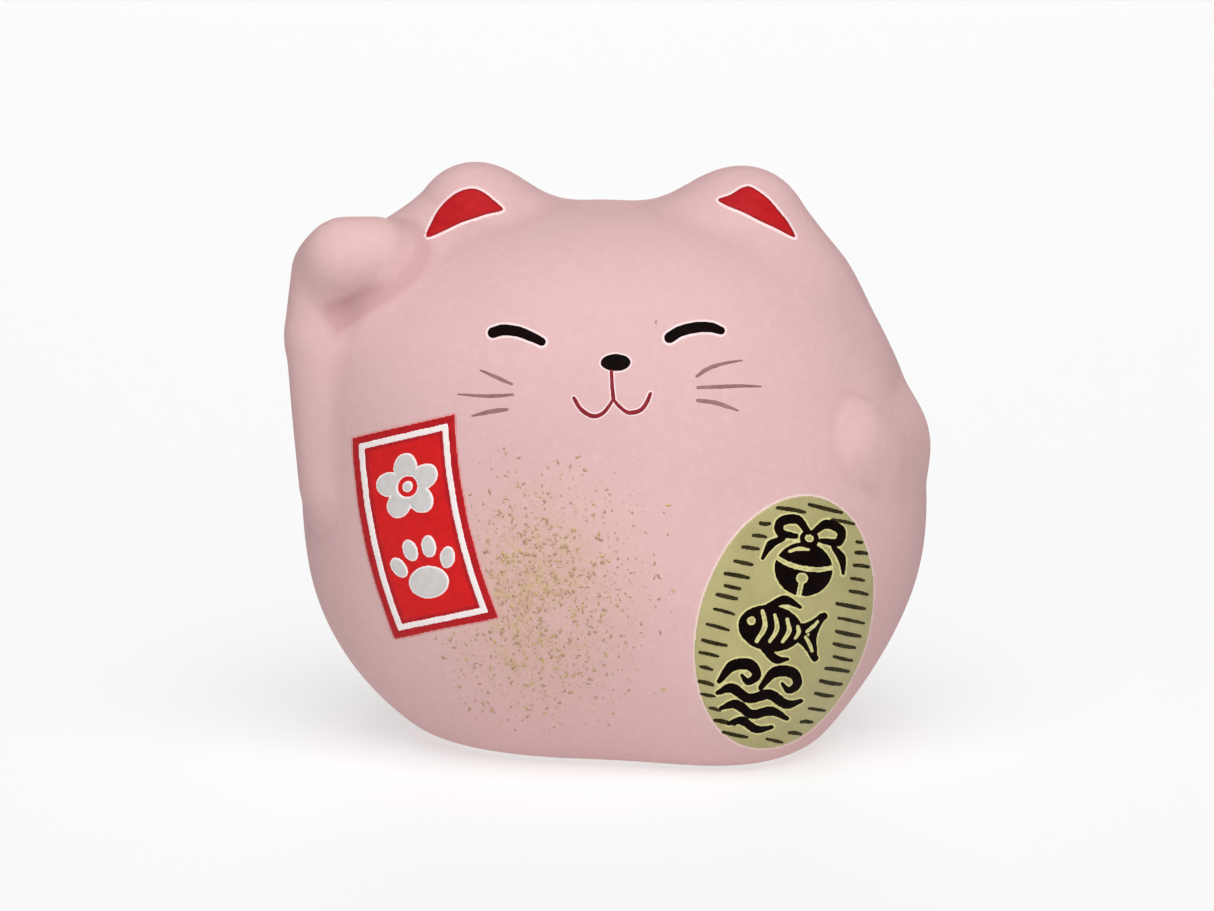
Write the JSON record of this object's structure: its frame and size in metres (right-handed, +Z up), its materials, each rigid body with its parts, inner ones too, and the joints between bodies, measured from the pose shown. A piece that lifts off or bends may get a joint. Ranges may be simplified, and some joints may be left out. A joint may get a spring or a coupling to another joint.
{
  "type": "beckoning cat figurine",
  "caption": "Round seated beckoning cat with its right paw raised, hollow pottery painted by hand, with a plug in the flat bottom.",
  "frame": {"origin": "middle of the figurine's bounding box, on the surface it stands on", "axes": "+X towards the cat's own left side (right in a front view), -Y the way the cat looks, +Z up; -Z is the way the base stopper pulls out"},
  "size_m": [0.0684, 0.0596, 0.0621],
  "materials": {
    "pink_bisque": "matt unglazed pottery, coloured pink",
    "soft_stopper": "soft translucent plastic or rubber, satin",
    "ear_red": "matt red paint",
    "ink_black": "black brush paint, matt",
    "line_red": "dark red brush line",
    "whisker_brown": "thin brown brush line",
    "label_red": "matt red paint",
    "paint_white": "matt white paint",
    "koban_gold": "matt olive gold paint",
    "flake_gold": "fine gold flakes"
  },
  "bodies": {
    "figurine": {"ceramic_body": "pink_bisque", "right_ear_paint": "ear_red", "left_ear_paint": "ear_red", "right_eye": "ink_black", "left_eye": "ink_black", "nose": "ink_black", "mouth_line": "line_red", "right_whiskers": "whisker_brown", "left_whiskers": "whisker_brown", "fortune_label": "label_red", "label_frame": "paint_white", "label_blossom": "paint_white", "label_paw_print": "paint_white", "koban_ground": "koban_gold", "koban_hatching": "ink_black", "koban_bell": "ink_black", "koban_fish": "ink_black", "koban_wave": "ink_black", "gold_dust": "flake_gold"},
    "stopper": {"base_stopper": "soft_stopper"}
  },
  "joints": [
    {"name": "base_stopper_pull", "type": "slide", "parent": "figurine", "child": "stopper", "axis": [0, 0, -1], "range_m": [0, 0.008]}
  ]
}
